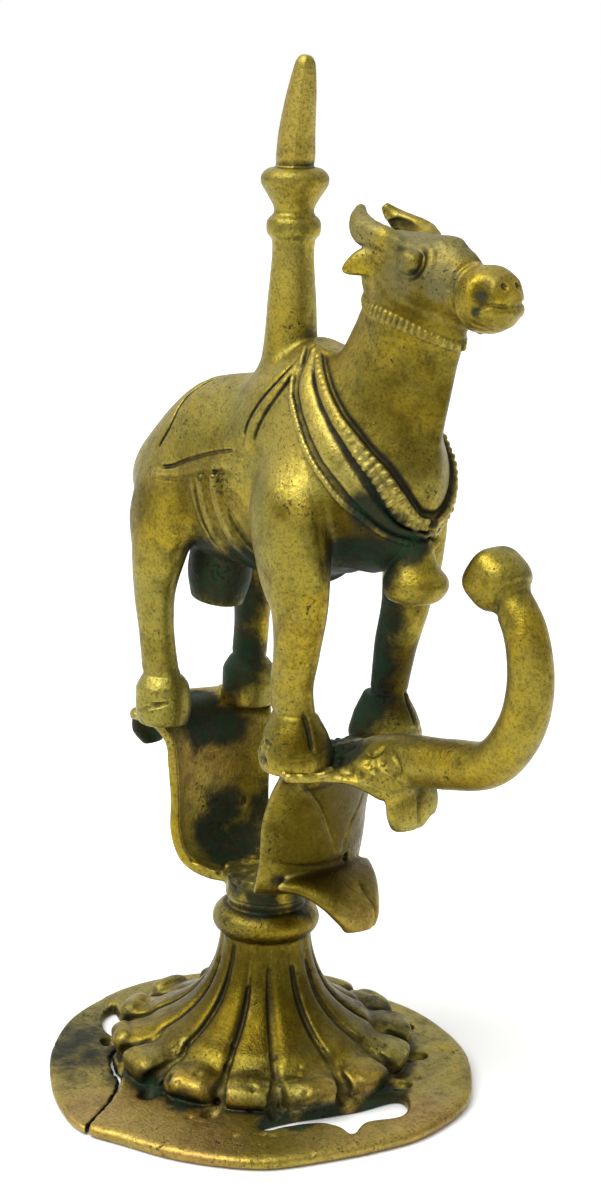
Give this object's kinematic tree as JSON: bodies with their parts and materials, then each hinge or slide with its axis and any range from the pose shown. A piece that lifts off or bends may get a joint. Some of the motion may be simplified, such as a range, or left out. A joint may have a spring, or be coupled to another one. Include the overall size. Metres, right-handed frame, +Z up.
{
  "type": "nandi statue",
  "caption": "Cast brass standing bull with lamp stem, garlands and chest bell, on a broken lotus cage, petalled foot and hand-cut base plate.",
  "frame": {"origin": "middle of the bounding box at the underside of the base plate", "axes": "+Z up; +X the way the bull looks; +Y the bull's left side"},
  "size_m": [0.1184, 0.0906, 0.2102],
  "materials": {
    "aged_brass": "worn cast brass with dark green patina in the hollows"
  },
  "bodies": {
    "root": {"nandi_statue": "aged_brass"}
  },
  "joints": []
}
